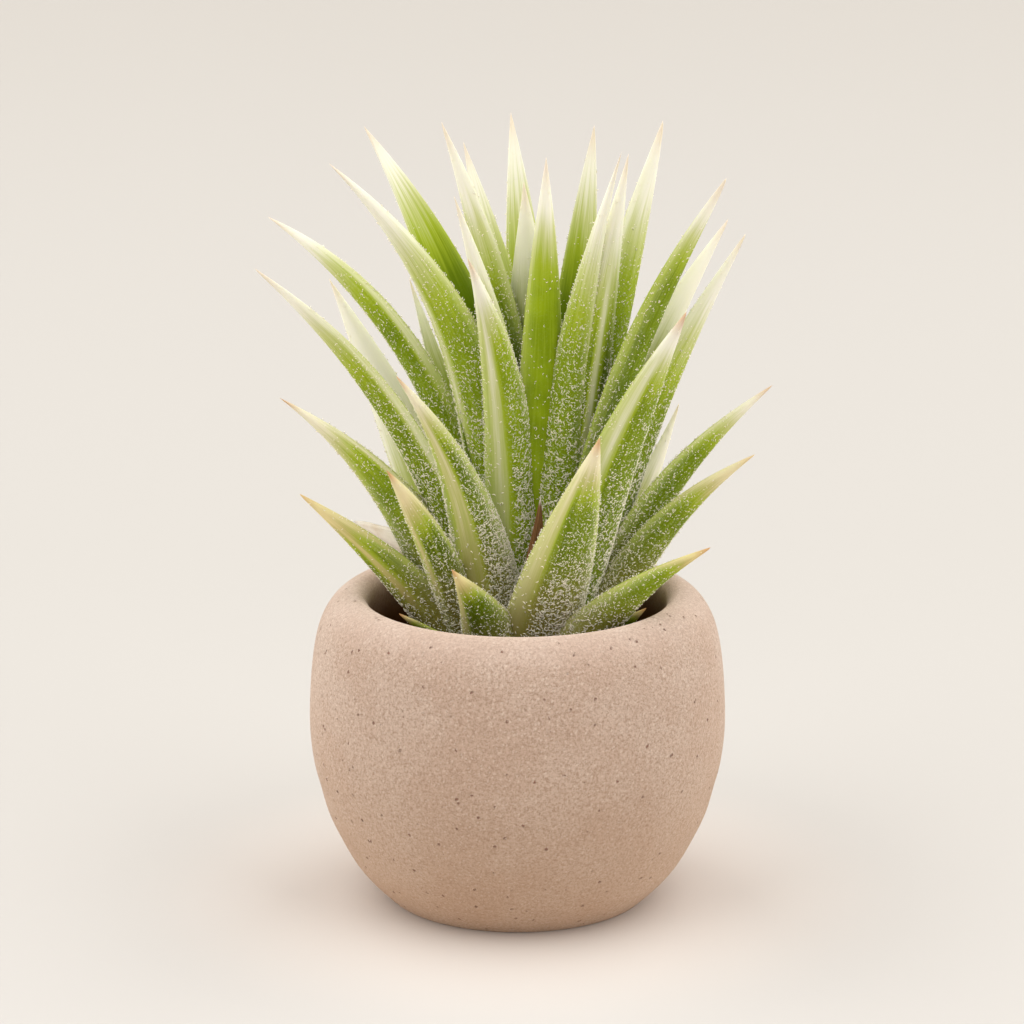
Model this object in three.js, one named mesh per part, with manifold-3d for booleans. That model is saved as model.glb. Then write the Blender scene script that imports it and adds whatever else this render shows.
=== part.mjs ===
// An air plant standing in a small round stoneware pot.
//
// Millimetres, +Z up. The origin is the centre of the pot's flat underside, -Y is the front.
// The plant is a rosette: every leaf grows from a short woody stem that stands on the pot's floor.
// The rows of LEAVES run from the youngest leaf in the heart to the oldest one outside, so a row's
// place in the list also says how high and how far out that leaf starts on the stem.

import * as THREE from 'three';
import { mergeVertices } from 'three/addons/utils/BufferGeometryUtils.js';
import Module from 'manifold-3d';

const wasm = await Module();
wasm.setup();

// Pot: a flattened ball with a thick rolled lip.
const POT_RADIUS = 38;
const POT_HEIGHT = 57.2;
const FOOT_RADIUS = 23.8;
const OPENING_RADIUS = 27.1;
const FLOOR_TOP = 5.7;
const POT_SIDES = 36;
const POT_RINGS = 24;

// Stem: a woody stub with a domed crown, a little right of the pot's middle.
const STEM_X = 3;
const STEM_Y = 0;
const STEM_FOOT_RADIUS = 5;
const STEM_WAIST_RADIUS = 3.8;
const STEM_CROWN_RADIUS = 7.5;
const STEM_CROWN_LEVEL = 36.7;
const STEM_TOP = 45.2;
const STEM_SIDES = 16;

// Leaves: where they start on the crown of the stem, from the heart (0) to the outside (1).
const HEART_LEVEL = 46.2;
const OUTER_LEVEL = 38.2;
const CROWN_RADIUS = 9.5;
const CROWN_POWER = 0.55;
const BASE_PULL = 0.36;
const TIP_PULL = 0.4;
const START_SHARE = 0.7;

// Leaf section: a fleshy channel, open towards the heart of the rosette.
const HEART_BASE_WIDTH = 0.3;
const OUTER_BASE_WIDTH = 0.6;
const BASE_THICKNESS = 0.5;
const HEART_BASE_END = 0.42;
const OUTER_BASE_END = 0.2;
const CHANNEL_DEPTH = 0.42;
const CHANNEL_FADE = 0.6;
const OUTER_THICKNESS = 0.15;
const INNER_THICKNESS = 0.05;
const LEAST_THICKNESS = 0.32;
const RINGS = 11;
const SIDES = 8;
const LAST_RING = 0.965;
const RING_SPREAD = 0.92;

// Clearance between one piece and the next.
const GAP = 0.3;

const COLOURS = {
  stoneware: 0xc9aa96,
  wood: 0x6b4f36,
  green: 0x7f9c2c,
  dry: 0xb08d62,
};

// turn: the side of the stem that a leaf grows from, in degrees from +X towards the back (+Y).
// tip: where it ends. curl: how much further it leans at its tip than its chord does, in degrees.
// width: its widest. taper: how late it narrows, from 1 for a straight-sided spike upwards.
// face: the side that its round outer face looks to, in degrees as for turn.
const LEAVES = [
  { name: 'leaf_01', turn: -95, tip: [5, -4.8, 138], curl: -3, width: 9.3, taper: 4.2, face: -66 },
  { name: 'leaf_02', turn: 59, tip: [13.8, 14, 140.3], curl: -2, width: 9.9, taper: 4.3, face: 56 },
  { name: 'leaf_03', turn: -140, tip: [-11.2, -8.1, 131.7], curl: 10, width: 8.3, taper: 2.9, face: -109 },
  { name: 'leaf_04', turn: 70, tip: [-1.2, 23, 141], curl: 8, width: 10.6, taper: 4, face: 120 },
  { name: 'leaf_05', turn: 175, tip: [1.1, 1, 132.5], curl: -6, width: 12.5, taper: 3.3, face: -83 },
  { name: 'leaf_06', turn: -24, tip: [19.5, -6, 138.9], curl: 2, width: 11.3, taper: 2.7, face: -70 },
  { name: 'leaf_07', turn: 170, tip: [-13.5, 0.9, 143.3], curl: 13, width: 9.5, taper: 3.6, face: -123 },
  { name: 'leaf_08', turn: 30, tip: [26, 10.1, 141.8], curl: 3, width: 13.5, taper: 4.1, face: -35 },
  { name: 'leaf_09', turn: 149, tip: [-19.7, 16, 111.7], curl: 2, width: 7, taper: 3.1, face: 129 },
  { name: 'leaf_10', turn: -47, tip: [18.2, -9.6, 139.9], curl: 10, width: 13.7, taper: 1.3, face: -103 },
  { name: 'leaf_11', turn: 163, tip: [-27.6, 11.9, 140.5], curl: 20, width: 14, taper: 2.9, face: 117 },
  { name: 'leaf_12', turn: 112, tip: [-9.8, 17.4, 136.6], curl: 14, width: 13.6, taper: 2.5, face: 114 },
  { name: 'leaf_13', turn: -9, tip: [36.7, -6.4, 134.6], curl: 13, width: 10.5, taper: 6, face: -27 },
  { name: 'leaf_14', turn: -166, tip: [-33, -10.5, 138], curl: 28, width: 14.3, taper: 1.7, face: -97 },
  { name: 'leaf_15', turn: 15, tip: [38.2, 15.1, 122.9], curl: 13, width: 12.2, taper: 3.1, face: -45 },
  { name: 'leaf_16', turn: 75, tip: [12, 26, 112.2], curl: 12, width: 13, taper: 2.4, face: 75 },
  { name: 'leaf_17', turn: -128, tip: [-8.7, -19.4, 123], curl: 22, width: 11.6, taper: 2.5, face: -71 },
  { name: 'leaf_18', turn: -3, tip: [40.8, 4.7, 122.3], curl: 9, width: 14.5, taper: 2.1, face: -42 },
  { name: 'leaf_19', turn: 187, tip: [-45.3, 16, 123.1], curl: 34, width: 6.5, taper: 5.1, face: -118 },
  { name: 'leaf_20', turn: 108, tip: [-8, 29, 108.2], curl: 14, width: 13, taper: 2.4, face: 108 },
  { name: 'leaf_21', turn: -49, tip: [29.4, -19.2, 113.4], curl: 9, width: 13.9, taper: 3.3, face: -54 },
  { name: 'leaf_22', turn: 168, tip: [-34.3, 15.3, 111.8], curl: 5, width: 11.9, taper: 2.7, face: -80 },
  { name: 'leaf_23', turn: 50, tip: [22, 27, 94.2], curl: 16, width: 13, taper: 2.4, face: 50 },
  { name: 'leaf_24', turn: 189, tip: [-46.1, -13.2, 119.8], curl: 20, width: 7.3, taper: 4.2, face: -118 },
  { name: 'leaf_25', turn: 88, tip: [6, 38, 104.2], curl: 18, width: 13, taper: 2.4, face: 85 },
  { name: 'leaf_26', turn: 24, tip: [29.7, 18, 87.7], curl: -3, width: 9.3, taper: 2.2, face: -47 },
  { name: 'leaf_27', turn: -10, tip: [46, 4, 94.6], curl: 19, width: 8.5, taper: 3, face: -60 },
  { name: 'leaf_28', turn: 135, tip: [-20, 30, 94.2], curl: 20, width: 13, taper: 2.4, face: 135 },
  { name: 'leaf_29', turn: -171, tip: [-42.2, -11.3, 96], curl: 20, width: 14.1, taper: 1.3, face: -70 },
  { name: 'leaf_30', turn: -143, tip: [-21.2, -24, 103.1], curl: 21, width: 14.2, taper: 1.4, face: -94 },
  { name: 'leaf_31', turn: 62, tip: [24, 34, 88.2], curl: 20, width: 13, taper: 2.4, face: 62 },
  { name: 'leaf_32', turn: -101, tip: [14.3, -26.9, 92.8], curl: 0, width: 14.5, taper: 2.7, face: -78 },
  { name: 'leaf_33', turn: 112, tip: [-10, 38, 86.2], curl: 20, width: 13, taper: 2.4, face: 112 },
  { name: 'leaf_34', turn: -22, tip: [42.4, -7.6, 84.7], curl: 21, width: 8.5, taper: 2.9, face: -75 },
  { name: 'leaf_35', turn: -169, tip: [-23, -23.4, 86], curl: 10, width: 7.2, taper: 3.6, face: -68 },
  { name: 'leaf_36', turn: 152, tip: [-18, 26, 72.2], curl: 20, width: 12, taper: 2.2, face: 150 },
  { name: 'leaf_37', turn: 35, tip: [28, 26, 70.2], curl: 20, width: 12, taper: 2.2, face: 40 },
  { name: 'leaf_38', turn: -167, tip: [-38.9, -9.8, 78], curl: 10, width: 11.3, taper: 2.5, face: -113 },
  { name: 'leaf_39', turn: 85, tip: [8, 36, 70.2], curl: 20, width: 12, taper: 2.2, face: 80 },
  { name: 'leaf_40', turn: -113, tip: [-11.7, -23, 67.8], curl: 12, width: 14.2, taper: 1.6, face: -76 },
  { name: 'leaf_41', turn: -86, tip: [33.9, -24.1, 72.1], curl: 15, width: 12.2, taper: 2, face: -75 },
  { name: 'leaf_42', turn: -35, tip: [23, -13, 57.7], curl: 16, width: 9, taper: 2.4, face: -60 },
  { name: 'leaf_43', turn: -146, tip: [-21.2, -14.1, 57], curl: 12, width: 8, taper: 2.4, face: -129 },
];

// Withered leaves, in the same terms: one at the back of the rim, one low between the front leaves.
const DRY_LEAVES = [
  { name: 'dry_leaf_1', turn: 168, tip: [-30.2, 15, 66.1], curl: 42, width: 13, taper: 4, face: -150 },
  { name: 'dry_leaf_2', turn: -100, tip: [4.1, -16, 79.6], curl: 0, width: 8, taper: 1.6, face: -80 },
];

const radians = THREE.MathUtils.degToRad;
const lerp = THREE.MathUtils.lerp;

function material(colour, roughness) {
  return new THREE.MeshStandardMaterial({ color: colour, roughness, metalness: 0 });
}

// The pot's section from the middle of its underside, up the outside, over the lip and down inside.
function potSection() {
  const outside = [
    [FOOT_RADIUS, 0],
    [25.6, 1.7],
    [28, 4.2],
    [30.3, 7.2],
    [32.5, 11.2],
    [34.8, 16.2],
    [36.2, 21.2],
    [37.4, 26.2],
    [POT_RADIUS, 33.2],
    [37.5, 43.2],
    [36.3, 50.2],
    [34.3, 54.4],
    [31.8, 56.6],
    [29.4, POT_HEIGHT],
    [27.7, 56.2],
    [OPENING_RADIUS, 54],
    [27.8, 49.2],
    [29.6, 42.2],
    [30.6, 32.2],
    [29.6, 21.2],
    [25.8, 11.2],
    [20, 6.8],
    [12, FLOOR_TOP],
  ];
  const curve = new THREE.SplineCurve(outside.map(([radius, height]) => new THREE.Vector2(radius, height)));
  const middle = new THREE.Vector2(0, 0);
  const floor = new THREE.Vector2(0, FLOOR_TOP);
  return [middle, ...curve.getPoints(POT_RINGS), floor];
}

function potGeometry() {
  return new THREE.LatheGeometry(potSection(), POT_SIDES).rotateX(Math.PI / 2);
}

// The stem, grown outwards by `extra`: a flared foot, a waist and a domed crown.
function stemGeometry(extra) {
  const foot = FLOOR_TOP + GAP - extra;
  const section = [
    [0, foot],
    [STEM_FOOT_RADIUS + extra, foot],
    [STEM_FOOT_RADIUS + extra, 9.2],
    [STEM_WAIST_RADIUS + extra, 21.2],
    [STEM_WAIST_RADIUS + extra, 31.2],
    [STEM_CROWN_RADIUS + extra, STEM_CROWN_LEVEL],
    [5.6 + extra, 40.9],
    [3 + extra, 43.8],
    [0, STEM_TOP + extra],
  ];
  const points = section.map(([radius, height]) => new THREE.Vector2(radius, height));
  return new THREE.LatheGeometry(points, STEM_SIDES).rotateX(Math.PI / 2).translate(STEM_X, STEM_Y, 0);
}

// A chord's direction, tipped over towards the ground by `degrees` in its own upright plane.
function leaned(chord, degrees) {
  const flat = new THREE.Vector3(chord.x, chord.y, 0).normalize();
  const across = new THREE.Vector3(0, 0, 1).cross(flat);
  return chord.clone().normalize().applyAxisAngle(across, radians(degrees));
}

// The line that a leaf follows: it starts more upright than its chord and ends leaning further.
function leafLine(leaf, age) {
  const turn = radians(leaf.turn);
  const reach = CROWN_RADIUS * age ** CROWN_POWER;
  const root = new THREE.Vector3(
    STEM_X + reach * Math.cos(turn),
    STEM_Y + reach * Math.sin(turn),
    lerp(HEART_LEVEL, OUTER_LEVEL, age),
  );
  const tip = new THREE.Vector3(...leaf.tip);
  const chord = tip.clone().sub(root);
  const length = chord.length();
  const start = leaned(chord, -START_SHARE * leaf.curl);
  const end = leaned(chord, leaf.curl);
  return new THREE.CubicBezierCurve3(
    root,
    root.clone().addScaledVector(start, BASE_PULL * length),
    tip.clone().addScaledVector(end, -TIP_PULL * length),
    tip,
  );
}

// One ring of a leaf's surface, grown outwards by `extra`.
function leafRing(leaf, age, line, along, extra) {
  const tangent = line.getTangent(along);
  const point = line.getPoint(along).addScaledVector(tangent, along === 0 ? -extra : 0);
  const face = radians(leaf.face);
  const side = new THREE.Vector3(-Math.sin(face), Math.cos(face), 0);
  side.addScaledVector(tangent, -side.dot(tangent)).normalize();
  const inward = tangent.clone().cross(side);
  const taper = 1 - along ** leaf.taper;
  const grown = THREE.MathUtils.smoothstep(along, 0, lerp(HEART_BASE_END, OUTER_BASE_END, age));
  const baseWidth = lerp(HEART_BASE_WIDTH, OUTER_BASE_WIDTH, age);
  const half = leaf.width * 0.5 * taper * lerp(baseWidth, 1, grown);
  const body = leaf.width * Math.sqrt(taper) * lerp(BASE_THICKNESS, 1, grown);
  const slope = CHANNEL_DEPTH * (1 - CHANNEL_FADE * along);
  const ring = [];
  for (let step = 0; step < SIDES; step += 1) {
    const angle = (2 * Math.PI * step) / SIDES;
    const across = Math.cos(angle);
    const fullness = Math.sin(angle) < 0 ? OUTER_THICKNESS : INNER_THICKNESS;
    const depth = (fullness * body + LEAST_THICKNESS * taper + extra) * Math.sin(angle);
    const rise = slope * half * across * across + 2 * slope * extra * across ** 6;
    const place = point.clone();
    place.addScaledVector(side, (half + extra) * across);
    place.addScaledVector(inward, rise + depth);
    ring.push(place);
  }
  return ring;
}

// A closed leaf: rings from the base to the tip, a flat base and a pointed tip.
function leafGeometry(leaf, age, extra) {
  const line = leafLine(leaf, age);
  const places = [];
  for (let ring = 0; ring < RINGS; ring += 1) {
    const along = LAST_RING * (ring / (RINGS - 1)) ** RING_SPREAD;
    places.push(...leafRing(leaf, age, line, along, extra));
  }
  const last = (RINGS - 1) * SIDES;
  const tip = line.getPoint(1).addScaledVector(line.getTangent(1), extra);
  const base = places.slice(0, SIDES).reduce((sum, place) => sum.add(place), new THREE.Vector3());
  places.push(tip, base.divideScalar(SIDES));
  const tipAt = places.length - 2;
  const baseAt = places.length - 1;
  const faces = [];
  for (let step = 0; step < SIDES; step += 1) {
    const next = (step + 1) % SIDES;
    for (let ring = 0; ring < RINGS - 1; ring += 1) {
      const a = ring * SIDES + step;
      const b = ring * SIDES + next;
      faces.push(a, b, b + SIDES, a, b + SIDES, a + SIDES);
    }
    faces.push(last + step, last + next, tipAt);
    faces.push(next, step, baseAt);
  }
  const geometry = new THREE.BufferGeometry().setFromPoints(places);
  geometry.setIndex(faces);
  return geometry;
}

function solidOf(geometry) {
  const bare = geometry.clone();
  bare.deleteAttribute('normal');
  bare.deleteAttribute('uv');
  const merged = mergeVertices(bare, 1e-4);
  const vertProperties = Float32Array.from(merged.attributes.position.array);
  const triVerts = Uint32Array.from(merged.index.array);
  return new wasm.Manifold(new wasm.Mesh({ numProp: 3, vertProperties, triVerts }));
}

function geometryOf(solid) {
  const mesh = solid.getMesh();
  const geometry = new THREE.BufferGeometry();
  geometry.setAttribute('position', new THREE.BufferAttribute(Float32Array.from(mesh.vertProperties), 3));
  geometry.setIndex(Array.from(mesh.triVerts));
  geometry.computeVertexNormals();
  return geometry;
}

// What is left of a leaf once its inner neighbours are cut out of it: the largest piece.
function largestPiece(solid) {
  const pieces = solid.decompose();
  pieces.sort((first, second) => second.volume() - first.volume());
  return pieces[0];
}

function addPiece(group, name, geometry, look) {
  const mesh = new THREE.Mesh(geometry, look);
  mesh.name = name;
  group.add(mesh);
}

// Every leaf loses what lies within the gap round the stem and round the leaves inside it.
function addRosette(group) {
  const rosette = [...LEAVES, ...DRY_LEAVES];
  const living = material(COLOURS.green, 0.6);
  const dry = material(COLOURS.dry, 0.9);
  const cutters = [solidOf(stemGeometry(GAP))];
  rosette.forEach((leaf, index) => {
    const age = Math.min(index / (LEAVES.length - 1), 1);
    let solid = solidOf(leafGeometry(leaf, age, 0));
    for (const cutter of cutters) {
      solid = solid.subtract(cutter);
    }
    addPiece(group, leaf.name, geometryOf(largestPiece(solid)), index < LEAVES.length ? living : dry);
    cutters.push(solidOf(leafGeometry(leaf, age, GAP)));
  });
}

function build() {
  const plant = new THREE.Group();
  addPiece(plant, 'pot', potGeometry(), material(COLOURS.stoneware, 0.9));
  addPiece(plant, 'stem', stemGeometry(0), material(COLOURS.wood, 0.9));
  addRosette(plant);
  return plant;
}

export default build();
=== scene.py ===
"""An air plant in a small stoneware pot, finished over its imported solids.

Shapes are worked out in millimetres as whole arrays and turned into metres when a mesh is made.
The leaves follow the same rows and the same formula as the solids: a line from the crown of the
stem to the tip, and round it a fleshy channelled section. Added here are the leaves' true round
sections, their cream tips, bands and streaks, and the short white hairs that cover them.
"""

from collections import namedtuple

import bpy
import numpy as np
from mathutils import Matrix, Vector


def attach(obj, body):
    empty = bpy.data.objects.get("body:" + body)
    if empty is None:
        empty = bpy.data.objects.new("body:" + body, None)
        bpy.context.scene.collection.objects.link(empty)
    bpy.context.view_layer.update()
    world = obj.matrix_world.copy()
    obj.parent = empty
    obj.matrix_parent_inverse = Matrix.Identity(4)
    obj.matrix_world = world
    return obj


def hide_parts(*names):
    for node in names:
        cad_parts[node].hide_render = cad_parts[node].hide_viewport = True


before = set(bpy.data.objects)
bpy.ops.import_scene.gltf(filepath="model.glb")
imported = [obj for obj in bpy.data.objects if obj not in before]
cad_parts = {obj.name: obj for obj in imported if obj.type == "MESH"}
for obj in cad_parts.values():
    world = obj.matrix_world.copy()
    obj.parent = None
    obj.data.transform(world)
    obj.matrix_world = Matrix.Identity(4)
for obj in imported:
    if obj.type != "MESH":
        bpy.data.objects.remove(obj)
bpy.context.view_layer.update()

MM = 0.001

# Pot: its section from the edge of the foot, up the outside, over the lip and down inside. Painted
# shade darkens the clay inside, fading in between the two points given below, counted along this
# list.
POT_SECTION = [
    (23.8, 0), (25.6, 1.7), (28, 4.2), (30.3, 7.2), (32.5, 11.2), (34.8, 16.2), (36.2, 21.2),
    (37.4, 26.2), (38, 33.2), (37.5, 43.2), (36.3, 50.2), (34.3, 54.4), (31.8, 56.6),
    (29.4, 57.2), (27.7, 56.2), (27.1, 54), (27.8, 49.2), (29.6, 42.2), (30.6, 32.2),
    (29.6, 21.2), (25.8, 11.2), (20, 6.8), (12, 5.7),
]
POT_SIDES = 192
POT_ROWS_PER_POINT = 8
INSIDE_SHADE_POINTS = (14, 16.5)

# Leaves: where they start on the crown of the stem, from the heart (0) to the outside (1).
STEM_X, STEM_Y = 3, 0
HEART_LEVEL, OUTER_LEVEL = 46.2, 38.2
CROWN_RADIUS, CROWN_POWER = 9.5, 0.55
BASE_PULL, TIP_PULL, START_SHARE = 0.36, 0.4, 0.7

# Leaf section: a fleshy channel, open towards the heart of the rosette.
HEART_BASE_WIDTH, OUTER_BASE_WIDTH = 0.3, 0.6
HEART_BASE_END, OUTER_BASE_END = 0.42, 0.2
BASE_THICKNESS = 0.5
CHANNEL_DEPTH, CHANNEL_FADE = 0.42, 0.6
OUTER_THICKNESS, INNER_THICKNESS, LEAST_THICKNESS = 0.15, 0.05, 0.32
LEAF_ROWS, LEAF_SIDES = 72, 36
LAST_ROW, ROW_SPREAD = 0.994, 0.9
EDGE_BLEND = 0.1

# Wrinkles of a withered leaf: their depth, how many go round it and how they wind along it.
WRINKLES = [(0.12, 5, 9), (0.1, 11, -23)]

# Hairs: short bent white scales, and a fringe along the margins. Each is a sliver of five points
# with three-sided rings at the middle three, as thick there as HAIR_SWELL says.
HAIR_LENGTH, HAIR_WIDTH = 0.68, 0.27
HAIR_LENGTH_SPREAD, HAIR_WIDTH_SPREAD = (0.4, 1.5), (0.7, 1.25)
HAIR_SWELL = (0.8, 1.0, 0.7)
HAIR_BOW = 0.5
HAIR_RISE = (0.03, 0.25)
HAIR_COMB_DEGREES = 65
HAIR_ROOT_DEPTH = 0.03
HAIRS_PER_MM2 = 2.9
UPPER_HAIR_SIZE = 0.6
LOWEST_HAIR = 46
LEAVES_PER_HAIR_PIECE = 3
SCATTER_ROWS, SCATTER_SIDES = 90, 48
SCATTER_FROM, SCATTER_TO = 0.02, 0.97
FRINGE_PER_MM = 3.6
FRINGE_LENGTH, FRINGE_LEAN = (0.2, 0.5), (0.2, 1.1)
FRINGE_ANGLE_SPREAD, FRINGE_BOW = 0.22, 0.2
FRINGE_WIDTH, FRINGE_WIDTH_SPREAD = 0.85 * HAIR_WIDTH, (0.7, 1.2)

# turn: the side of the stem that a leaf grows from, in degrees from +X towards the back (+Y).
# tip: where it ends. curl: how much further it leans at its tip than its chord does, in degrees.
# width: its widest. taper: how late it narrows, from 1 for a straight-sided spike upwards.
# face: the side that its round outer face looks to, in degrees as for turn.
# cream: the share of the length, from the tip, that has gone cream. band: a cream band down the
# outer face, as (its middle across the face from -1 to 1, its half width, how far down it runs).
# smooth: the stretch across the outer face that has few hairs. scurf: how hairy the leaf is.
# apex: how brown its point is. glow: how bright and yellow its green is, from 0, deep, to 1; partly
# the leaf's own tone and partly painted light, raised on shaded leaves to stand for light through
# them.
Leaf = namedtuple(
    "Leaf",
    "name turn tip curl width taper face cream band smooth scurf apex glow",
    defaults=(0.3, None, None, 1.0, 0.35, 0.4),
)

LEAVES = [
    Leaf("leaf_01", -95, (5, -4.8, 138), -3, 9.3, 4.2, -66, cream=0.26, scurf=0.14, glow=0.9),
    Leaf("leaf_02", 59, (13.8, 14, 140.3), -2, 9.9, 4.3, 56, cream=0.38, scurf=0.5, glow=1.0),
    Leaf("leaf_03", -140, (-11.2, -8.1, 131.7), 10, 8.3, 2.9, -109, cream=0.4, scurf=0.8),
    Leaf("leaf_04", 70, (-1.2, 23, 141), 8, 10.6, 4, 120, cream=0.48, scurf=0.5, glow=0.8),
    Leaf("leaf_05", 175, (1.1, 1, 132.5), -6, 12.5, 3.3, -83, cream=0.45, scurf=0.4, glow=1.0),
    Leaf("leaf_06", -24, (19.5, -6, 138.9), 2, 11.3, 2.7, -70,
         cream=0.4, band=(0.1, 0.25, 0.8), scurf=0.9),
    Leaf("leaf_07", 170, (-13.5, 0.9, 143.3), 13, 9.5, 3.6, -123,
         cream=0.36, band=(-0.5, 0.3, 0.6), scurf=0.8),
    Leaf("leaf_08", 30, (26, 10.1, 141.8), 3, 13.5, 4.1, -35, cream=0.36, scurf=0.9, glow=0.8),
    Leaf("leaf_09", 149, (-19.7, 16, 111.7), 2, 7, 3.1, 129, cream=0.6, scurf=0.4),
    Leaf("leaf_10", -47, (18.2, -9.6, 139.9), 10, 13.7, 1.3, -103, cream=0.4, scurf=1.15, glow=0.6),
    Leaf("leaf_11", 163, (-27.6, 11.9, 140.5), 20, 14, 2.9, 117, cream=0.34, scurf=0.45, glow=0.9),
    Leaf("leaf_12", 112, (-9.8, 17.4, 136.6), 14, 13.6, 2.5, 114, cream=0.55, scurf=0.4, glow=0.7),
    Leaf("leaf_13", -9, (36.7, -6.4, 134.6), 13, 10.5, 6, -27, cream=0.2, scurf=0.55, glow=0.4),
    Leaf("leaf_14", -166, (-33, -10.5, 138), 28, 14.3, 1.7, -97,
         cream=0.4, band=(-0.8, 0.22, 0.6), scurf=0.9, glow=0.75),
    Leaf("leaf_15", 15, (38.2, 15.1, 122.9), 13, 12.2, 3.1, -45, cream=0.6, scurf=0.5),
    Leaf("leaf_16", 75, (12, 26, 112.2), 12, 13, 2.4, 75),
    Leaf("leaf_17", -128, (-8.7, -19.4, 123), 22, 11.6, 2.5, -71,
         cream=0.28, band=(-0.55, 0.36, 0.85), smooth=(-1, -0.15), apex=0.6, scurf=1.6, glow=0.75),
    Leaf("leaf_18", -3, (40.8, 4.7, 122.3), 9, 14.5, 2.1, -42, cream=0.42, scurf=1.0),
    Leaf("leaf_19", 187, (-45.3, 16, 123.1), 34, 6.5, 5.1, -118,
         cream=0.3, band=(0.85, 0.3, 0.45), scurf=0.9, glow=0.55),
    Leaf("leaf_20", 108, (-8, 29, 108.2), 14, 13, 2.4, 108),
    Leaf("leaf_21", -49, (29.4, -19.2, 113.4), 9, 13.9, 3.3, -54,
         cream=0.24, band=(-0.75, 0.28, 0.6), smooth=(-1, -0.5), apex=0.8, glow=0.45),
    Leaf("leaf_22", 168, (-34.3, 15.3, 111.8), 5, 11.9, 2.7, -80, cream=0.85, scurf=0.3),
    Leaf("leaf_23", 50, (22, 27, 94.2), 16, 13, 2.4, 50),
    Leaf("leaf_24", 189, (-46.1, -13.2, 119.8), 20, 7.3, 4.2, -118,
         cream=0.36, band=(0.9, 0.25, 0.75), scurf=1.1, glow=0.5),
    Leaf("leaf_25", 88, (6, 38, 104.2), 18, 13, 2.4, 85),
    Leaf("leaf_26", 24, (29.7, 18, 87.7), -3, 9.3, 2.2, -47, cream=0.6, scurf=0.5),
    Leaf("leaf_27", -10, (46, 4, 94.6), 19, 8.5, 3, -60, cream=0.26, apex=0.7, glow=0.45),
    Leaf("leaf_28", 135, (-20, 30, 94.2), 20, 13, 2.4, 135),
    Leaf("leaf_29", -171, (-42.2, -11.3, 96), 20, 14.1, 1.3, -70,
         cream=0.34, band=(0.75, 0.3, 0.6), apex=0.8, scurf=0.9, glow=0.5),
    Leaf("leaf_30", -143, (-21.2, -24, 103.1), 21, 14.2, 1.4, -94,
         cream=0.3, band=(-0.3, 0.5, 0.95), smooth=(-0.9, 0.1), apex=0.8, scurf=1.8, glow=0.25),
    Leaf("leaf_31", 62, (24, 34, 88.2), 20, 13, 2.4, 62),
    Leaf("leaf_32", -101, (14.3, -26.9, 92.8), 0, 14.5, 2.7, -78,
         cream=0.26, band=(-0.85, 0.3, 1), smooth=(-1, -0.5), apex=0.9, scurf=1.5, glow=0.35),
    Leaf("leaf_33", 112, (-10, 38, 86.2), 20, 13, 2.4, 112),
    Leaf("leaf_34", -22, (42.4, -7.6, 84.7), 21, 8.5, 2.9, -75, cream=0.3, apex=0.5, glow=0.4),
    Leaf("leaf_35", -169, (-23, -23.4, 86), 10, 7.2, 3.6, -68,
         cream=0.34, band=(-0.8, 0.18, 0.6), apex=1, scurf=1.2, glow=0.1),
    Leaf("leaf_36", 152, (-18, 26, 72.2), 20, 12, 2.2, 150),
    Leaf("leaf_37", 35, (28, 26, 70.2), 20, 12, 2.2, 40),
    Leaf("leaf_38", -167, (-38.9, -9.8, 78), 10, 11.3, 2.5, -113,
         cream=0.36, band=(0.1, 0.3, 0.6), apex=0.5, scurf=0.7, glow=0.4),
    Leaf("leaf_39", 85, (8, 36, 70.2), 20, 12, 2.2, 80),
    Leaf("leaf_40", -113, (-11.7, -23, 67.8), 12, 14.2, 1.6, -76,
         cream=0.26, band=(-0.9, 0.2, 0.7), apex=1, scurf=1.1, glow=0.25),
    Leaf("leaf_41", -86, (33.9, -24.1, 72.1), 15, 12.2, 2, -75,
         cream=0.22, apex=0.9, scurf=0.9, glow=0.5),
    Leaf("leaf_42", -35, (23, -13, 57.7), 16, 9, 2.4, -60, cream=0.15, apex=1, scurf=0.4),
    Leaf("leaf_43", -146, (-21.2, -14.1, 57), 12, 8, 2.4, -129, cream=0.15, apex=1, scurf=0.4),
]

DRY_LEAVES = [
    Leaf("dry_leaf_1", 168, (-30.2, 15, 66.1), 42, 13, 4, -150, cream=0.62),
    Leaf("dry_leaf_2", -100, (4.1, -16, 79.6), 0, 8, 1.6, -80, cream=0.04),
]

# Colours of the clay, the leaves, the dry leaves, the stem and the floor, as hex codes.
COLOURS = {
    "clay": "d5bba7", "pale_clay": "ddc7b5", "clay_grain": "bb9d87", "clay_dust": "9f8068",
    # The lip colour is a painted highlight, the foot colour painted shade with warm bounce from the
    # floor, and the inside colour painted shade.
    "grit": "f0e2d4", "pit": "94604a", "lip": "efdccf", "foot": "bd9672", "pot_inside_painted_shade": "70451a",
    "deep_green": "475c00", "bright_green": "9cb214", "patch_green": "4a6300",
    "streak_green": "a8ba38", "inner_green": "516c00", "lime": "a6b62e", "olive": "a1904f",
    "young_straw": "cdd08c", "old_straw": "c9bd74",
    "young_cream": "f9f4e2", "old_cream": "e9d698",
    "tan": "cf9a6c", "scale": "eef0c8", "bloom": "e2e6a8", "hair": "fff7e2",
    "dark_fibre": "5a3518", "pale_fibre": "a87c4e",
    "paper_cream": "fff4e2", "paper_blotch": "e6cfad",
    "dark_bark": "33231a", "pale_bark": "7c5f41",
    # The floor colours are painted light and shade: lighter at the front and close round the pot,
    # darker towards the back.
    "floor_front": "cdc8c2", "floor_middle": "c4bfb8",
    "floor_back": "bcb6ae", "floor_painted_light_by_pot": "dcd3ca",
}

# Scales for a pattern on Object coordinates, which are in metres.
IN_MILLIMETRES = (1000, 1000, 1000)
IN_METRES = (1, 1, 1)

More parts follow.
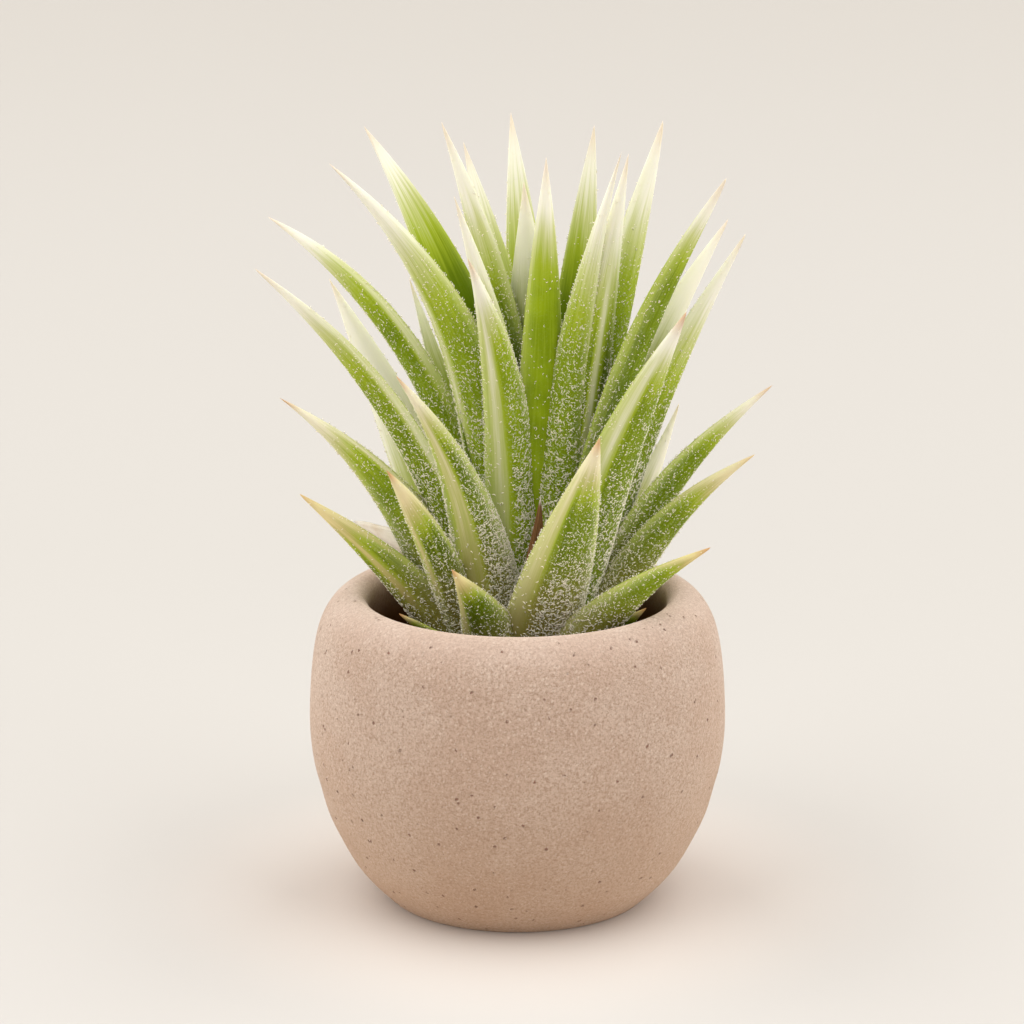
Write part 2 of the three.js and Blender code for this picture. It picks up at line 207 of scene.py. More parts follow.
# Camera, fitted to the photo: what it looks at, from how far and how steeply, and its view.
LOOK_AT = (-1, 0, 71.93)
CAMERA_DISTANCE = 800
CAMERA_ELEVATION = 15.32
PHOTO_SIDE = 1024
FOCAL_PIXELS = 4421.6
SENSOR_WIDTH = 36

# Studio: each light's name, azimuth and elevation in degrees, strength, and the degrees it fills.
LIGHTS = [
    ("left_light", -95, 32, 2.75, 100),
    ("right_light", 95, 32, 2.72, 100),
    ("front_light", 0, 50, 0.35, 80),
    ("top_light", 0, 85, 0.7, 60),
]
SKY_COLOUR, SKY_STRENGTH = (1.0, 0.985, 0.96, 1), 0.28
FLOOR_HALF, FLOOR_LEVEL = 4000, -0.1


# Shapes


def lerp(start, end, share):
    """A straight blend: start at share 0, end at share 1."""
    return start + (end - start) * share


def ease(value, low, high):
    """0 below low, 1 above high, and 3t^2 - 2t^3 between them."""
    t = np.clip((value - low) / (high - low), 0, 1)
    return t * t * (3 - 2 * t)


def unit(vectors):
    """Each vector divided by its length."""
    return vectors / np.linalg.norm(vectors, axis=-1, keepdims=True)


def leaned(chord, degrees):
    """The chord's direction, turned by `degrees` towards the ground in its own upright plane."""
    along = unit(chord)
    across = unit(np.cross((0, 0, 1), (chord[0], chord[1], 0)))
    angle = np.radians(degrees)
    return along * np.cos(angle) + np.cross(across, along) * np.sin(angle)


def leaf_line(leaf, age):
    """The four points of the leaf's cubic line: root, two pulls, tip. It starts more upright than
    its chord and ends leaning further."""
    turn = np.radians(leaf.turn)
    reach = CROWN_RADIUS * age**CROWN_POWER
    level = lerp(HEART_LEVEL, OUTER_LEVEL, age)
    root = np.array([STEM_X + reach * np.cos(turn), STEM_Y + reach * np.sin(turn), level])
    tip = np.array(leaf.tip, float)
    length = np.linalg.norm(tip - root)
    start = leaned(tip - root, -START_SHARE * leaf.curl)
    end = leaned(tip - root, leaf.curl)
    return np.array([root, root + BASE_PULL * length * start, tip - TIP_PULL * length * end, tip])


def leaf_surface(leaf, age, along, angle, lift=0.0):
    """Points of a leaf's surface, for arrays of `along` (0 root to 1 tip) and `angle` (0 to 2 pi
    round the section), raised by `lift`.

    point = line(along) + side * half * cos + inward * (channel * cos^2 + thickness * sin)

    The line is the leaf's cubic, `side` and `inward` are square to it, half the width narrows by
    1 - along^taper and towards the root, and the channel grows shallower towards the tip.
    """
    a = along[..., None]
    b = 1 - a
    root, pull, reach, tip = leaf_line(leaf, age)
    line = b**3 * root + 3 * b * b * a * pull + 3 * b * a * a * reach + a**3 * tip
    tangent = unit(b * b * (pull - root) + 2 * b * a * (reach - pull) + a * a * (tip - reach))
    face = np.radians(leaf.face)
    side = np.array([-np.sin(face), np.cos(face), 0])
    side = unit(side - np.sum(side * tangent, axis=-1, keepdims=True) * tangent)
    inward = np.cross(tangent, side)
    taper = 1 - along**leaf.taper
    grown = ease(along, 0, lerp(HEART_BASE_END, OUTER_BASE_END, age))
    base_width = lerp(HEART_BASE_WIDTH, OUTER_BASE_WIDTH, age)
    half = leaf.width / 2 * taper * lerp(base_width, 1, grown)
    body = leaf.width * np.sqrt(taper) * lerp(BASE_THICKNESS, 1, grown)
    across, up = np.cos(angle), np.sin(angle)
    fullness = np.where(up < 0, OUTER_THICKNESS, INNER_THICKNESS)
    channel = CHANNEL_DEPTH * (1 - CHANNEL_FADE * along) * half * across**2
    depth = (fullness * body + LEAST_THICKNESS * taper + lift) * up
    return line + side * ((half + lift) * across)[..., None] + inward * (channel + depth)[..., None]


def closed_tube(rows, start, end):
    """Vertices and faces of rings of points joined into a tube, closed by a fan at each end."""
    count, sides = rows.shape[:2]
    ring = np.arange(count * sides).reshape(count, sides)
    ahead = np.roll(ring, -1, axis=1)
    walls = np.stack([ring[:-1], ahead[:-1], ahead[1:], ring[1:]], axis=-1).reshape(-1, 4)
    first, last = count * sides, count * sides + 1
    fan_in = np.stack([ahead[0], ring[0], np.full(sides, first)], axis=-1)
    fan_out = np.stack([ring[-1], ahead[-1], np.full(sides, last)], axis=-1)
    vertices = np.concatenate([rows.reshape(-1, 3), [start], [end]])
    return vertices, [walls, np.concatenate([fan_in, fan_out])]


def smooth_curve(points, steps):
    """A curve through all points, each stretch cut in `steps`: a cubic in t whose slope at a
    point is half the way from the point before it to the point after it."""
    p = np.array(points, float)
    before = np.vstack([p[:1], p[:-1]])[:-1, None]
    after = np.vstack([p[1:], p[-1:]])[1:, None]
    here, there = p[:-1, None], p[1:, None]
    t = (np.arange(steps) / steps)[None, :, None]
    pull, push = (there - before) / 2, (after - here) / 2
    curve = (
        (2 * here - 2 * there + pull + push) * t**3
        + (3 * there - 3 * here - 2 * pull - push) * t**2
        + pull * t
        + here
    )
    return np.vstack([curve.reshape(-1, 2), p[-1:]])


# Meshes


def make_piece(name, vertices, face_groups, material):
    """A mesh object at the origin, from vertices in millimetres and arrays of faces. All faces of
    one array have the same number of corners."""
    mesh = bpy.data.meshes.new(name)
    corners = np.concatenate([faces.ravel() for faces in face_groups]).astype(np.int32)
    sizes = np.concatenate([np.full(len(faces), faces.shape[1]) for faces in face_groups])
    starts = np.concatenate([[0], np.cumsum(sizes)[:-1]]).astype(np.int32)
    mesh.vertices.add(len(vertices))
    mesh.vertices.foreach_set("co", (vertices * MM).astype(np.float32).ravel())
    mesh.loops.add(len(corners))
    mesh.loops.foreach_set("vertex_index", corners)
    mesh.polygons.add(len(sizes))
    mesh.polygons.foreach_set("loop_start", starts)
    mesh.polygons.foreach_set("use_smooth", np.ones(len(sizes), bool))
    mesh.update(calc_edges=True)
    mesh.validate()
    mesh.materials.append(material)
    piece = bpy.data.objects.new(name, mesh)
    bpy.context.scene.collection.objects.link(piece)
    return piece


def paint(piece, name, values):
    """Stores one number for each vertex under `name`, for the material to read."""
    attribute = piece.data.attributes.new(name, "FLOAT", "POINT")
    attribute.data.foreach_set("value", values.astype(np.float32).ravel())


# Materials


def colour(name):
    """A colour of COLOURS as the linear numbers that a shader takes."""
    parts = np.array(list(bytes.fromhex(COLOURS[name]))) / 255
    linear = np.where(parts <= 0.04045, parts / 12.92, ((parts + 0.055) / 1.055) ** 2.4)
    return (*linear, 1)


class Finish:
    """A material and its nodes, added one at a time and joined as they are made."""

    def __init__(self, name, **constants):
        """`constants` are set on the shader's own sockets, with _ for the spaces in their names."""
        self.material = bpy.data.materials.new(name)
        self.material.use_nodes = True
        self.tree = self.material.node_tree
        self.shader = self.tree.nodes["Principled BSDF"]
        for socket, value in constants.items():
            self.shader.inputs[socket.replace("_", " ")].default_value = value

    def add(self, kind, values, output=0, **settings):
        """A node with these settings. `values` maps its inputs to numbers or to other sockets."""
        node = self.tree.nodes.new("ShaderNode" + kind)
        for key, value in settings.items():
            setattr(node, key, value)
        for key, value in values.items():
            if isinstance(value, bpy.types.NodeSocket):
                self.tree.links.new(value, node.inputs[key])
            else:
                node.inputs[key].default_value = value
        return node.outputs[output]

    def math(self, operation, first, second, clamp=False):
        """Two numbers added, subtracted or multiplied."""
        return self.add("Math", {0: first, 1: second}, operation=operation, use_clamp=clamp)

    def step(self, value, low, high, start=0.0, end=1.0):
        """`start` on the side of `low`, `end` on the side of `high`, and smooth between them."""
        values = {"Value": value, "From Min": low, "From Max": high, "To Min": start, "To Max": end}
        return self.add("MapRange", values, interpolation_type="SMOOTHSTEP")

    def mix(self, share, first, second):
        """Two colours mixed: `first` where share is 0, `second` where it is 1."""
        values = {"Factor": share, 6: first, 7: second}
        return self.add("Mix", values, output=2, data_type="RGBA", clamp_factor=True)

    def number(self, name):
        """The number that `paint` stored on the piece."""
        return self.add("Attribute", {}, output="Fac", attribute_name=name)

    def place(self, scale=IN_MILLIMETRES):
        """Object coordinates, with `scale` units to the metre along each axis."""
        where = self.add("TexCoord", {}, output="Object")
        return self.add("Mapping", {"Vector": where, "Scale": scale})

    def along_leaf(self, across, lengthwise):
        """The place on a leaf's own map: scaled round the section, and along it."""
        where = self.add("UVMap", {}, uv_map="leaf_map")
        return self.add("Mapping", {"Vector": where, "Scale": (across, lengthwise, 1)})

    def noise(self, place, scale, detail, roughness):
        """Soft random values from 0 to 1: higher detail and roughness make them grainier."""
        values = {"Vector": place, "Scale": scale, "Detail": detail, "Roughness": roughness}
        return self.add("TexNoise", values)

    def cells(self, place, scale):
        """The distance to the nearest of many scattered points."""
        return self.add("TexVoronoi", {"Vector": place, "Scale": scale}, output="Distance")

    def join(self, base, bump=None, bump_depth=0.0):
        """Gives the shader its base colour and, where there is one, its bump."""
        self.tree.links.new(base, self.shader.inputs["Base Color"])
        if bump is not None:
            values = {"Height": bump, "Distance": bump_depth, "Strength": 1.0}
            self.tree.links.new(self.add("Bump", values), self.shader.inputs["Normal"])
        return self.material


def stoneware():
    """Matte sandy clay: mottled grain, pale grit, and small brown pits. A painted highlight makes
    it paler at the lip, painted shade with warm bounce from the floor makes it darker and warmer
    towards the foot, and painted shade makes it dark inside."""
    clay = Finish("stoneware", Roughness=0.86, Specular_IOR_Level=0.25, Diffuse_Roughness=1.0)
    place = clay.place()
    cloud = clay.noise(place, 0.06, 3, 0.6)
    grain = clay.noise(place, 1.9, 5, 0.7)
    fine = clay.noise(place, 3.6, 3, 0.7)
    bent = clay.add("VectorMath", {0: place, 1: clay.noise(place, 1.4, 3, 0.6)}, operation="ADD")
    grit, pits = clay.cells(bent, 1.2), clay.cells(bent, 0.34)
    base = clay.mix(clay.step(cloud, 0.35, 0.65), colour("clay"), colour("pale_clay"))
    base = clay.mix(clay.step(grain, 0.3, 0.6), colour("clay_grain"), base)
    base = clay.mix(clay.step(grit, 0.34, 0.16, 0.0, 0.42), base, colour("grit"))
    base = clay.mix(clay.step(fine, 0.5, 0.66, 0.0, 0.5), base, colour("clay_dust"))
    level = clay.add("SeparateXYZ", {0: place}, output="Z")
    # Painted highlight: paler towards the top of the lip, where the light from above falls.
    base = clay.mix(clay.step(level, 51, 57, 0.0, 0.26), base, colour("lip"))
    # Painted shade with warm bounce from the floor: darker and warmer towards the foot.
    base = clay.mix(clay.step(level, 50, 0, 0.0, 0.45), base, colour("foot"))
    pit = clay.math("MULTIPLY", clay.step(pits, 0.13, 0.07), clay.step(grain, 0.44, 0.54))
    base = clay.mix(clay.math("MULTIPLY", pit, 0.8), base, colour("pit"))
    # Painted shade: the clay darkened inside the pot, where shadow falls.
    base = clay.mix(clay.number("inside"), base, colour("pot_inside_painted_shade"))
    height = clay.math("ADD", clay.math("MULTIPLY", grain, 0.6), clay.math("MULTIPLY", fine, 0.3))
    height = clay.math("SUBTRACT", height, clay.math("MULTIPLY", pit, 1.6))
    return clay.join(base, height, bump_depth=0.0002)


def leaf_skin():
    """Flesh that runs from green over straw to cream as `pale` rises, in lengthwise streaks. It is
    brown at the point, olive at the base, and frosted by fine scales."""
    skin = Finish("leaf_skin", Roughness=0.6, Specular_IOR_Level=0.06, Subsurface_Weight=0.08)
    skin.shader.inputs["Subsurface Radius"].default_value = (1.0, 1.1, 0.25)
    skin.shader.inputs["Subsurface Scale"].default_value = MM
    place = skin.place()
    broad = skin.noise(skin.along_leaf(0.8, 0.03), 1.0, 3, 0.6)
    thin = skin.noise(skin.along_leaf(3.2, 0.07), 1.0, 3, 0.6)
    streak = skin.math("ADD", skin.math("MULTIPLY", broad, 0.6), skin.math("MULTIPLY", thin, 0.4))
    patch = skin.noise(place, 0.16, 2, 0.5)
    dots = skin.noise(place, 2.6, 3, 0.65)
    pale, frost = skin.number("pale"), skin.number("frost")
    sway = skin.math("MULTIPLY", skin.math("SUBTRACT", streak, 0.5), skin.number("sway"))
    pale = skin.math("ADD", pale, sway, clamp=True)
    # Partly the leaf's own tone, partly painted light: the bright green stands for light shining
    # through shaded leaves.
    green = skin.mix(skin.number("glow"), colour("deep_green"), colour("bright_green"))
    green = skin.mix(skin.step(patch, 0.35, 0.7, 0.0, 0.35), green, colour("patch_green"))
    green = skin.mix(skin.step(thin, 0.44, 0.64, 0.0, 0.35), green, colour("streak_green"))
    green = skin.mix(skin.number("inner"), green, colour("inner_green"))
    straw = skin.mix(skin.number("yellow"), colour("young_straw"), colour("old_straw"))
    cream = skin.mix(skin.number("yellow"), colour("young_cream"), colour("old_cream"))
    base = skin.mix(skin.step(pale, 0.02, 0.42), green, colour("lime"))
    base = skin.mix(skin.step(pale, 0.32, 0.7), base, straw)
    base = skin.mix(skin.step(pale, 0.6, 0.95), base, cream)
    base = skin.mix(skin.number("olive"), base, colour("olive"))
    base = skin.mix(skin.number("tan"), base, colour("tan"))
    speck = skin.math("MULTIPLY", skin.step(dots, 0.54, 0.62), frost)
    base = skin.mix(speck, base, colour("scale"))
    base = skin.mix(skin.number("bloom"), base, colour("bloom"))
    height = skin.math("ADD", skin.math("MULTIPLY", streak, 0.5), skin.math("MULTIPLY", speck, 0.8))
    return skin.join(base, height, bump_depth=0.0001)


def hair_white():
    """Dry translucent scales that scatter nearly all light."""
    hair = Finish("hair_white", Roughness=0.7, Specular_IOR_Level=0.3)
    hair.shader.inputs["Base Color"].default_value = colour("hair")
    return hair.material


def papery():
    """Withered leaf: cream to brown with lengthwise fibres."""
    paper = Finish("papery", Roughness=0.8, Specular_IOR_Level=0.2)
    fibre = paper.noise(paper.along_leaf(2.4, 0.08), 1.0, 4, 0.65)
    blotch = paper.noise(paper.place(), 0.35, 3, 0.6)
    brown = paper.mix(paper.step(fibre, 0.35, 0.7), colour("dark_fibre"), colour("pale_fibre"))
    blotched = paper.step(blotch, 0.4, 0.7, 0.0, 0.5)
    cream = paper.mix(blotched, colour("paper_cream"), colour("paper_blotch"))
    base = paper.mix(paper.number("cream"), brown, cream)
    return paper.join(base, fibre, bump_depth=0.0003)


def stem_bark():
    """Brown fibrous stub of old leaf bases."""
    bark = Finish("stem_bark", Roughness=0.9)
    fibre = bark.noise(bark.place((1200, 1200, 160)), 1.0, 4, 0.65)
    base = bark.mix(bark.step(fibre, 0.35, 0.7), colour("dark_bark"), colour("pale_bark"))
    return bark.join(base, fibre, bump_depth=0.0004)


def studio_floor():
    """Plain pale paper, with painted light and shade: a little darker towards the back, and a
    little lighter close round the pot, against its shadow.
    """
    paper = Finish("studio_floor", Roughness=0.95, Specular_IOR_Level=0.1)
    place = paper.place(IN_METRES)
    back = paper.add("SeparateXYZ", {0: place}, output="Y")
    # Painted light and shade: lighter at the front, darker towards the back.
    near = paper.mix(paper.step(back, -0.15, 0.25), colour("floor_front"), colour("floor_middle"))
    base = paper.mix(paper.step(back, 0.2, 1.3), near, colour("floor_back"))
    reach = paper.add("VectorMath", {0: place}, output="Value", operation="LENGTH")
    # Painted light: paler close round the pot, which thins its shadow there.
    base = paper.mix(paper.step(reach, 0.03, 0.075), colour("floor_painted_light_by_pot"), base)
    return paper.join(base)


# Pieces


def add_pot(material):
    """The pot: its section turned about +Z, with what is past the lip marked for the painted shade
    inside.
    """
    section = smooth_curve(POT_SECTION, POT_ROWS_PER_POINT)
    turn = np.arange(POT_SIDES) / POT_SIDES * 2 * np.pi
    radius, height = section[:, 0, None], section[:, 1, None]
    level = np.broadcast_to(height, (len(section), POT_SIDES))
    rows = np.stack([radius * np.cos(turn), radius * np.sin(turn), level], axis=-1)
    vertices, faces = closed_tube(rows, (0, 0, 0), (0, 0, POT_SECTION[-1][1]))
    pot = make_piece("stoneware_pot", vertices, faces, material)
    # How much painted shade each row gets: none outside, full down inside.
    inside_shade = ease(np.arange(len(section)) / POT_ROWS_PER_POINT, *INSIDE_SHADE_POINTS)
    paint(pot, "inside", np.concatenate([np.repeat(inside_shade, POT_SIDES), [0, 1]]))
    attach(pot, "root")
    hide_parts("pot")


def leaf_grid():
    """`along` and `angle` at each point of a leaf's grid, the rows closer together at the tip."""
    along = LAST_ROW * (np.arange(LEAF_ROWS) / (LEAF_ROWS - 1)) ** ROW_SPREAD
    angle = np.arange(LEAF_SIDES) / LEAF_SIDES * 2 * np.pi
    return np.meshgrid(along, angle, indexing="ij")


def outer_share(angle):
    """1 on the leaf's round outer face, 0 on the inner one, and smooth between them."""
    return 1 - ease(np.sin(angle), -EDGE_BLEND, EDGE_BLEND)


def with_ends(values):
    """The numbers of a closed tube's rows, and for each end the mean of the row beside it."""
    return np.concatenate([values.ravel(), [values[0].mean(), values[-1].mean()]])


def pale_share(leaf, along, across, outer):
    """How far the green has gone over straw to cream: most at the tip, some down each margin and
    in the leaf's band, little on the inner face."""
    share = ease(along, 1 - 1.2 * leaf.cream, 1 - 0.1 * leaf.cream) ** 1.1
    margin = ease(np.abs(across), 0.7, 1) * ease(along, 0.1, 0.7)
    share = share + 0.45 * margin * (1 - share)
    if leaf.band:
        middle, half_width, reach = leaf.band
        strip = 1 - ease(np.abs(across - middle), 0.3 * half_width, 1.4 * half_width)
        strip = strip * ease(along, 0.85 - reach, 1.1 - reach) * outer
        share = np.maximum(share, (0.5 + 0.3 * along) * strip)
    return share * lerp(0.45 + 0.5 * ease(along, 0.6, 1), 1, outer)


def hair_share(leaf, along, across, outer):
    """How thick the hairs stand: most at the base and the margins, few on cream, on the inner face
    and on the smooth stretch."""
    base = 1 - ease(along, 0.25, 0.8)
    share = leaf.scurf * (0.5 + 0.8 * base + 0.5 * ease(np.abs(across), 0.6, 1))
    share = share * (1 - 0.85 * ease(pale_share(leaf, along, across, outer), 0.25, 0.8))
    share = share * lerp(0.1, 1, outer)
    if leaf.smooth:
        start, end = leaf.smooth
        inside = ease(across, start - 0.1, start + 0.1) * (1 - ease(across, end - 0.15, end + 0.15))
        share = share * (1 - 0.85 * inside * outer)
    return share


def map_leaf(piece, leaf):
    """Gives each face corner its place on the leaf: millimetres round the section and along it.
    The last face of each row ends at 1, not back at 0."""
    girth = 2.4 * leaf.width
    length = np.linalg.norm(np.array(leaf.tip) - (STEM_X, STEM_Y, OUTER_LEVEL))
    corners = np.zeros(len(piece.data.loops), np.int32)
    piece.data.loops.foreach_get("vertex_index", corners)
    row, side = np.divmod(np.minimum(corners, LEAF_ROWS * LEAF_SIDES - 1), LEAF_SIDES)
    u, v = side / LEAF_SIDES, row / LEAF_ROWS
    walls = (LEAF_ROWS - 1) * LEAF_SIDES
    seam = np.zeros((walls, 4), bool)
    seam[LEAF_SIDES - 1 :: LEAF_SIDES, 1:3] = True
    u[: walls * 4][seam.ravel()] = 1
    places = np.stack([u * girth, v * length], axis=-1)
    layer = piece.data.uv_layers.new(name="leaf_map")
    layer.data.foreach_set("uv", places.astype(np.float32).ravel())


def add_leaf(leaf, age, material):
    """One leaf's skin, with what the material needs painted on its points: how pale it is and how
    far the streaks sway that, the bloom on its rims, the yellow of an old leaf, the frost of
    scales, the glow of its green, which is partly painted light, its inner face, the olive base of
    an old leaf, the tan point."""
    along, angle = leaf_grid()
    rows = leaf_surface(leaf, age, along, angle)
    vertices, faces = closed_tube(rows, rows[0].mean(axis=0), leaf_line(leaf, age)[-1])
    piece = make_piece(leaf.name + "_skin", vertices, faces, material)
    across, outer, level = np.cos(angle), outer_share(angle), rows[..., 2]
    pale = pale_share(leaf, along, across, outer)
    rim = ease(np.abs(across), 0.5, 1) * ease(along, 0.1, 0.4) * (1 - ease(along, 0.85, 1))
    old_base = ease(age, 0.4, 0.75) * (1 - ease(level, 52, 80)) * (1 - ease(along, 0.3, 0.75))
    layers = {
        "pale": pale,
        "sway": 0.25 + 3.2 * pale * (1 - pale),
        "bloom": 0.26 * np.sqrt(leaf.scurf) * rim * lerp(0.4, 1, outer),
        "yellow": ease(age + 0 * along, 0.5, 0.95),
        "frost": np.clip(0.35 * hair_share(leaf, along, across, outer), 0, 1),
        # glow: partly the leaf's own tone, partly painted light through the leaf.
        "glow": leaf.glow + 0 * along,
        "inner": 0.8 * (1 - outer) * (1 - pale),
        "olive": 0.8 * old_base,
        "tan": leaf.apex * ease(along, 0.93, 1),
    }
    for name, values in layers.items():
        paint(piece, name, with_ends(values))
    map_leaf(piece, leaf)
    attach(piece, "root")
    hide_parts(leaf.name)


def hair_paths(root, heading, out, length, bend, rise):
    """Five points down each hair, at s from 0 to 1: it runs along `heading`, bows sideways by
    bend * length * (1 - (2s - 1)^2) and lifts off the leaf by rise * s^1.5, its root sunk in."""
    sideways = np.cross(out, heading)
    s = np.linspace(0, 1, 5)[None, :, None]
    bow = (bend[:, None] * length[:, None])[..., None] * (1 - (2 * s - 1) ** 2)
    lift = rise[:, None, None] * s**1.5 - HAIR_ROOT_DEPTH * (1 - s)
    run = length[:, None, None] * (s - 0.5)
    return root[:, None] + run * heading[:, None] + bow * sideways[:, None] + lift * out[:, None]


def hair_mesh(path, out, width):
    """Slivers with a point at each end and three three-sided rings between them: vertex 0 is the
    root, 1 to 9 are the rings and 10 is the end."""
    count = len(path)
    middle = path[:, 1:4]
    heading = unit(path[:, 2:5] - path[:, 0:3])
    sideways = unit(np.cross(out[:, None], heading))
    up = np.cross(heading, sideways)
    swell = np.array(HAIR_SWELL)[None, :, None, None] * width[:, None, None, None] / 2
    turn = np.radians([90, 210, 330])
    corner = np.cos(turn)[:, None] * sideways[:, :, None] + np.sin(turn)[:, None] * up[:, :, None]
    rings = (middle[:, :, None] + swell * corner).reshape(count, 9, 3)
    vertices = np.concatenate([path[:, :1], rings, path[:, 4:]], axis=1).reshape(-1, 3)
    side, ahead = np.arange(3), (np.arange(3) + 1) % 3
    start = np.stack([np.zeros(3, int), 1 + ahead, 1 + side], axis=-1)
    end = np.stack([np.full(3, 10), 7 + side, 7 + ahead], axis=-1)
    walls = [np.stack([r + side, r + ahead, r + 3 + ahead, r + 3 + side], axis=-1) for r in (1, 4)]
    shift = (11 * np.arange(count))[:, None, None]
    quads = (np.concatenate(walls)[None] + shift).reshape(-1, 4)
    triangles = (np.concatenate([start, end])[None] + shift).reshape(-1, 3)
    return vertices, quads, triangles


def surface_frames(leaf, age, along, angle):
    """At places on a leaf: the point, its outward direction and its direction towards the tip,
    from two points close by, one further along and one further round."""
    step_along, step_round = 0.002, 0.02
    point = leaf_surface(leaf, age, along, angle)
    ahead = unit(leaf_surface(leaf, age, along + step_along, angle) - point)
    round_leaf = unit(leaf_surface(leaf, age, along, angle + step_round) - point)
    return point, unit(np.cross(round_leaf, ahead)), ahead


def scattered(leaf, age, random):
    """Places for the hairs that lie on a leaf: cells of its grid drawn by area times hair share."""
    down_leaf = np.linspace(SCATTER_FROM, SCATTER_TO, SCATTER_ROWS)
    round_leaf = np.arange(SCATTER_SIDES) / SCATTER_SIDES * 2 * np.pi
    along, angle = np.meshgrid(down_leaf, round_leaf, indexing="ij")
    point = leaf_surface(leaf, age, along, angle)
    down = np.linalg.norm(np.diff(point, axis=0), axis=-1)
    sideways = np.linalg.norm(np.roll(point, -1, axis=1) - point, axis=-1)[:-1]
    share = hair_share(leaf, along, np.cos(angle), outer_share(angle))[:-1]
    share = share * (point[:-1, :, 2] > LOWEST_HAIR)
    weight = (down * sideways * share).ravel()
    count = int(HAIRS_PER_MM2 * weight.sum())
    cell = random.choice(len(weight), count, p=weight / weight.sum())
    row, side = np.divmod(cell, SCATTER_SIDES)
    along = along[row, side] + random.random(count) * (along[1, 0] - along[0, 0])
    angle = angle[row, side] + random.random(count) * 2 * np.pi / SCATTER_SIDES
    return along, angle


def lying_hairs(leaf, age, random):
    """Bent hairs on the faces of a leaf, loosely combed towards its tip and shorter there."""
    along, angle = scattered(leaf, age, random)
    count = len(along)
    point, out, ahead = surface_frames(leaf, age, along, angle)
    comb = random.normal(0, np.radians(HAIR_COMB_DEGREES), count)
    heading = np.cos(comb)[:, None] * ahead + np.sin(comb)[:, None] * np.cross(out, ahead)
    size = lerp(1, UPPER_HAIR_SIZE, ease(along, 0.3, 0.7))
    length = HAIR_LENGTH * size * random.uniform(*HAIR_LENGTH_SPREAD, count)
    bend = random.uniform(-HAIR_BOW, HAIR_BOW, count)
    rise = length * random.uniform(*HAIR_RISE, count)
    path = hair_paths(point, heading, out, length, bend, rise)
    return path, out, HAIR_WIDTH * size**0.5 * random.uniform(*HAIR_WIDTH_SPREAD, count)


def margin_fringe(leaf, age, random):
    """Short hairs that stand out from both margins of a leaf, leaning towards its tip."""
    line_length = np.linalg.norm(np.array(leaf.tip) - leaf_line(leaf, age)[0])
    count = int(FRINGE_PER_MM * line_length * min(1, 0.35 + leaf.scurf)) * 2
    along = random.uniform(0.05, 0.9, count)
    angle = np.repeat([0, np.pi], count // 2) + random.normal(0, FRINGE_ANGLE_SPREAD, count)
    point, out, ahead = surface_frames(leaf, age, along, angle)
    keep = (point[:, 2] > LOWEST_HAIR) & (random.random(count) > ease(along, 0.55, 1.0))
    point, out, ahead = point[keep], out[keep], ahead[keep]
    count = len(point)
    lean = random.uniform(*FRINGE_LEAN, count)[:, None]
    heading = unit(out + lean * ahead)
    length = random.uniform(*FRINGE_LENGTH, count)
    across = unit(np.cross(ahead, heading))
    root = point + heading * (0.4 * length)[:, None]
    bend = random.uniform(-FRINGE_BOW, FRINGE_BOW, count)
    path = hair_paths(root, heading, across, length, bend, 0 * length)
    return path, across, FRINGE_WIDTH * random.uniform(*FRINGE_WIDTH_SPREAD, count)


def add_hairs(leaves, ages, name, material):
    """All hairs of some leaves, as one piece. Each leaf's draws start from its own number."""
    paths, outs, widths = [], [], []
    for leaf, age in zip(leaves, ages):
        random = np.random.default_rng(int(leaf.name[-2:]))
        for grow in (lying_hairs, margin_fringe):
            path, out, width = grow(leaf, age, random)
            paths.append(path)
            outs.append(out)
            widths.append(width)
    vertices, quads, triangles = hair_mesh(*map(np.concatenate, (paths, outs, widths)))
    piece = make_piece(name, vertices, [quads, triangles], material)
    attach(piece, "root")


def add_dry_leaf(leaf, material):
    """A withered outermost leaf: the leaf's surface, pale towards its end, and raised by wrinkles
    of depth * sin(count * angle + wind * along) that fade out at both ends."""
    oldest = 1.0
    along, angle = leaf_grid()
    wrinkle = sum(depth * np.sin(count * angle + wind * along) for depth, count, wind in WRINKLES)
    rows = leaf_surface(leaf, oldest, along, angle, lift=wrinkle * np.sin(np.pi * along))
    vertices, faces = closed_tube(rows, rows[0].mean(axis=0), leaf_line(leaf, oldest)[-1])
    piece = make_piece(leaf.name + "_husk", vertices, faces, material)
    pale = ease(along, 1 - 1.2 * leaf.cream, 1 - 0.5 * leaf.cream)
    paint(piece, "cream", np.concatenate([pale.ravel(), [0, 1]]))
    map_leaf(piece, leaf)
    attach(piece, "root")
    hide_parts(leaf.name)


# Studio


def add_floor(material):
    """A wide level sheet just under the pot."""
    signs = np.array([(-1, -1), (1, -1), (1, 1), (-1, 1)])
    corners = np.column_stack([signs * FLOOR_HALF, np.full(4, FLOOR_LEVEL)])
    floor = make_piece("studio_sheet", corners, [np.array([[0, 1, 2, 3]])], material)


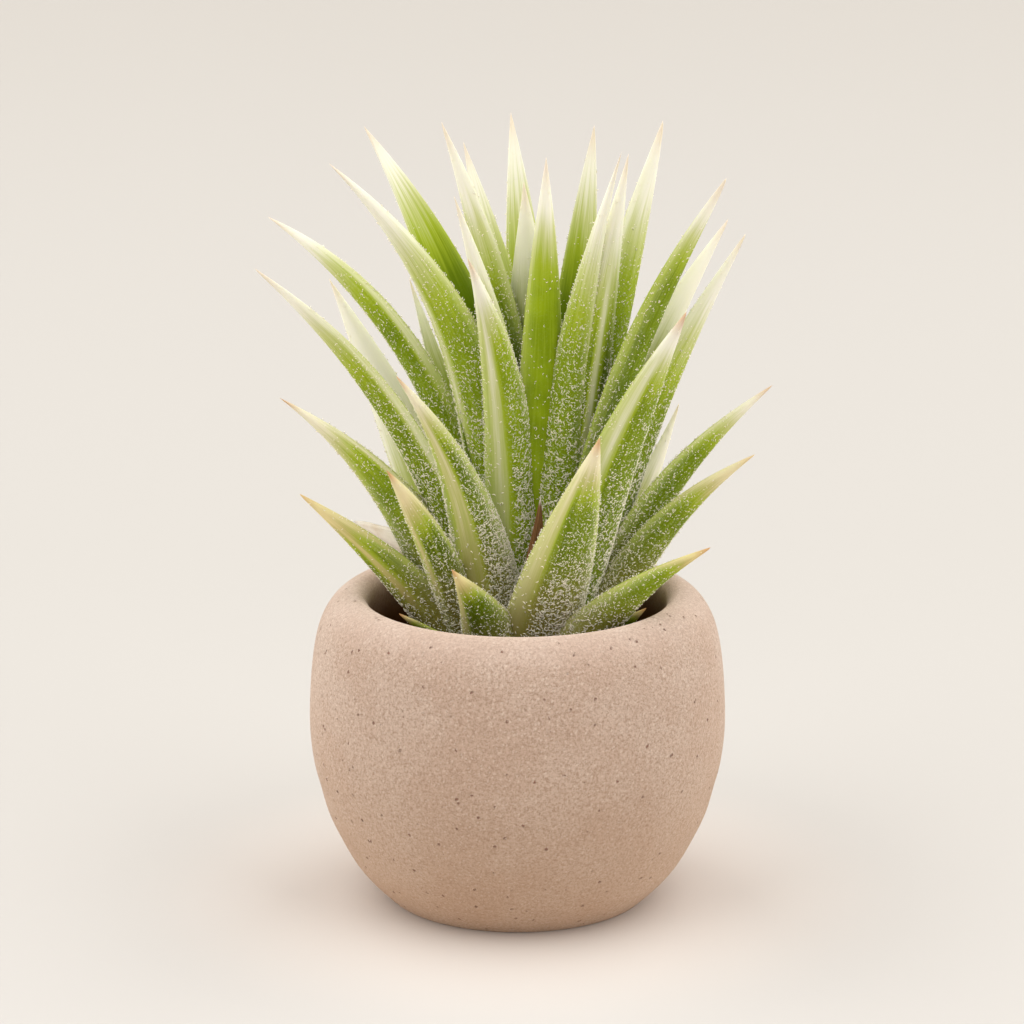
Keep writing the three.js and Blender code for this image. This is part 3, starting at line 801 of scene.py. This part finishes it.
def add_camera():
    """The photo's camera: not tilted sideways, above the pot's front and looking down at it."""
    lens = bpy.data.cameras.new("camera")
    lens.sensor_width = SENSOR_WIDTH
    lens.lens = FOCAL_PIXELS / PHOTO_SIDE * SENSOR_WIDTH
    lens.clip_start, lens.clip_end = 0.01, 20
    camera = bpy.data.objects.new("camera", lens)
    rise = np.radians(CAMERA_ELEVATION)
    back = Vector((0, -np.cos(rise), np.sin(rise)))
    camera.location = (Vector(LOOK_AT) + back * CAMERA_DISTANCE) * MM
    camera.rotation_mode = "QUATERNION"
    camera.rotation_quaternion = (-back).to_track_quat("-Z", "Y")
    bpy.context.scene.collection.objects.link(camera)
    bpy.context.scene.camera = camera


def add_light(name, azimuth, elevation, strength, spread):
    """A distant soft light. Azimuth 0 shines from the front and 90 from the right; `spread` is how
    many degrees of the sky it fills."""
    lamp = bpy.data.lights.new(name, "SUN")
    lamp.energy = strength
    lamp.angle = np.radians(spread)
    light = bpy.data.objects.new(name, lamp)
    turn, rise = np.radians((azimuth, elevation))
    towards = Vector((np.sin(turn) * np.cos(rise), -np.cos(turn) * np.cos(rise), np.sin(rise)))
    light.rotation_mode = "QUATERNION"
    light.rotation_quaternion = (-towards).to_track_quat("-Z", "Y")
    bpy.context.scene.collection.objects.link(light)


def add_studio():
    """A pale floor, a faint warm sky and four soft lights: left, right, front and above."""
    world = bpy.data.worlds.new("studio")
    world.use_nodes = True
    sky = world.node_tree.nodes["Background"]
    sky.inputs["Color"].default_value = SKY_COLOUR
    sky.inputs["Strength"].default_value = SKY_STRENGTH
    bpy.context.scene.world = world
    bpy.context.scene.view_settings.view_transform = "Standard"
    for light in LIGHTS:
        add_light(*light)
    add_floor(studio_floor())


def build():
    """The camera and the studio, then the pot, the stem's bark, the leaves, hairs and husks."""
    add_camera()
    add_studio()
    add_pot(stoneware())
    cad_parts["stem"].data.materials[0] = stem_bark()
    skin, hair, paper = leaf_skin(), hair_white(), papery()
    ages = [index / (len(LEAVES) - 1) for index in range(len(LEAVES))]
    for leaf, age in zip(LEAVES, ages):
        add_leaf(leaf, age, skin)
    for first in range(0, len(LEAVES), LEAVES_PER_HAIR_PIECE):
        group = slice(first, first + LEAVES_PER_HAIR_PIECE)
        add_hairs(LEAVES[group], ages[group], f"leaf_hairs_from_{first + 1:02d}", hair)
    for leaf in DRY_LEAVES:
        add_dry_leaf(leaf, paper)


build()
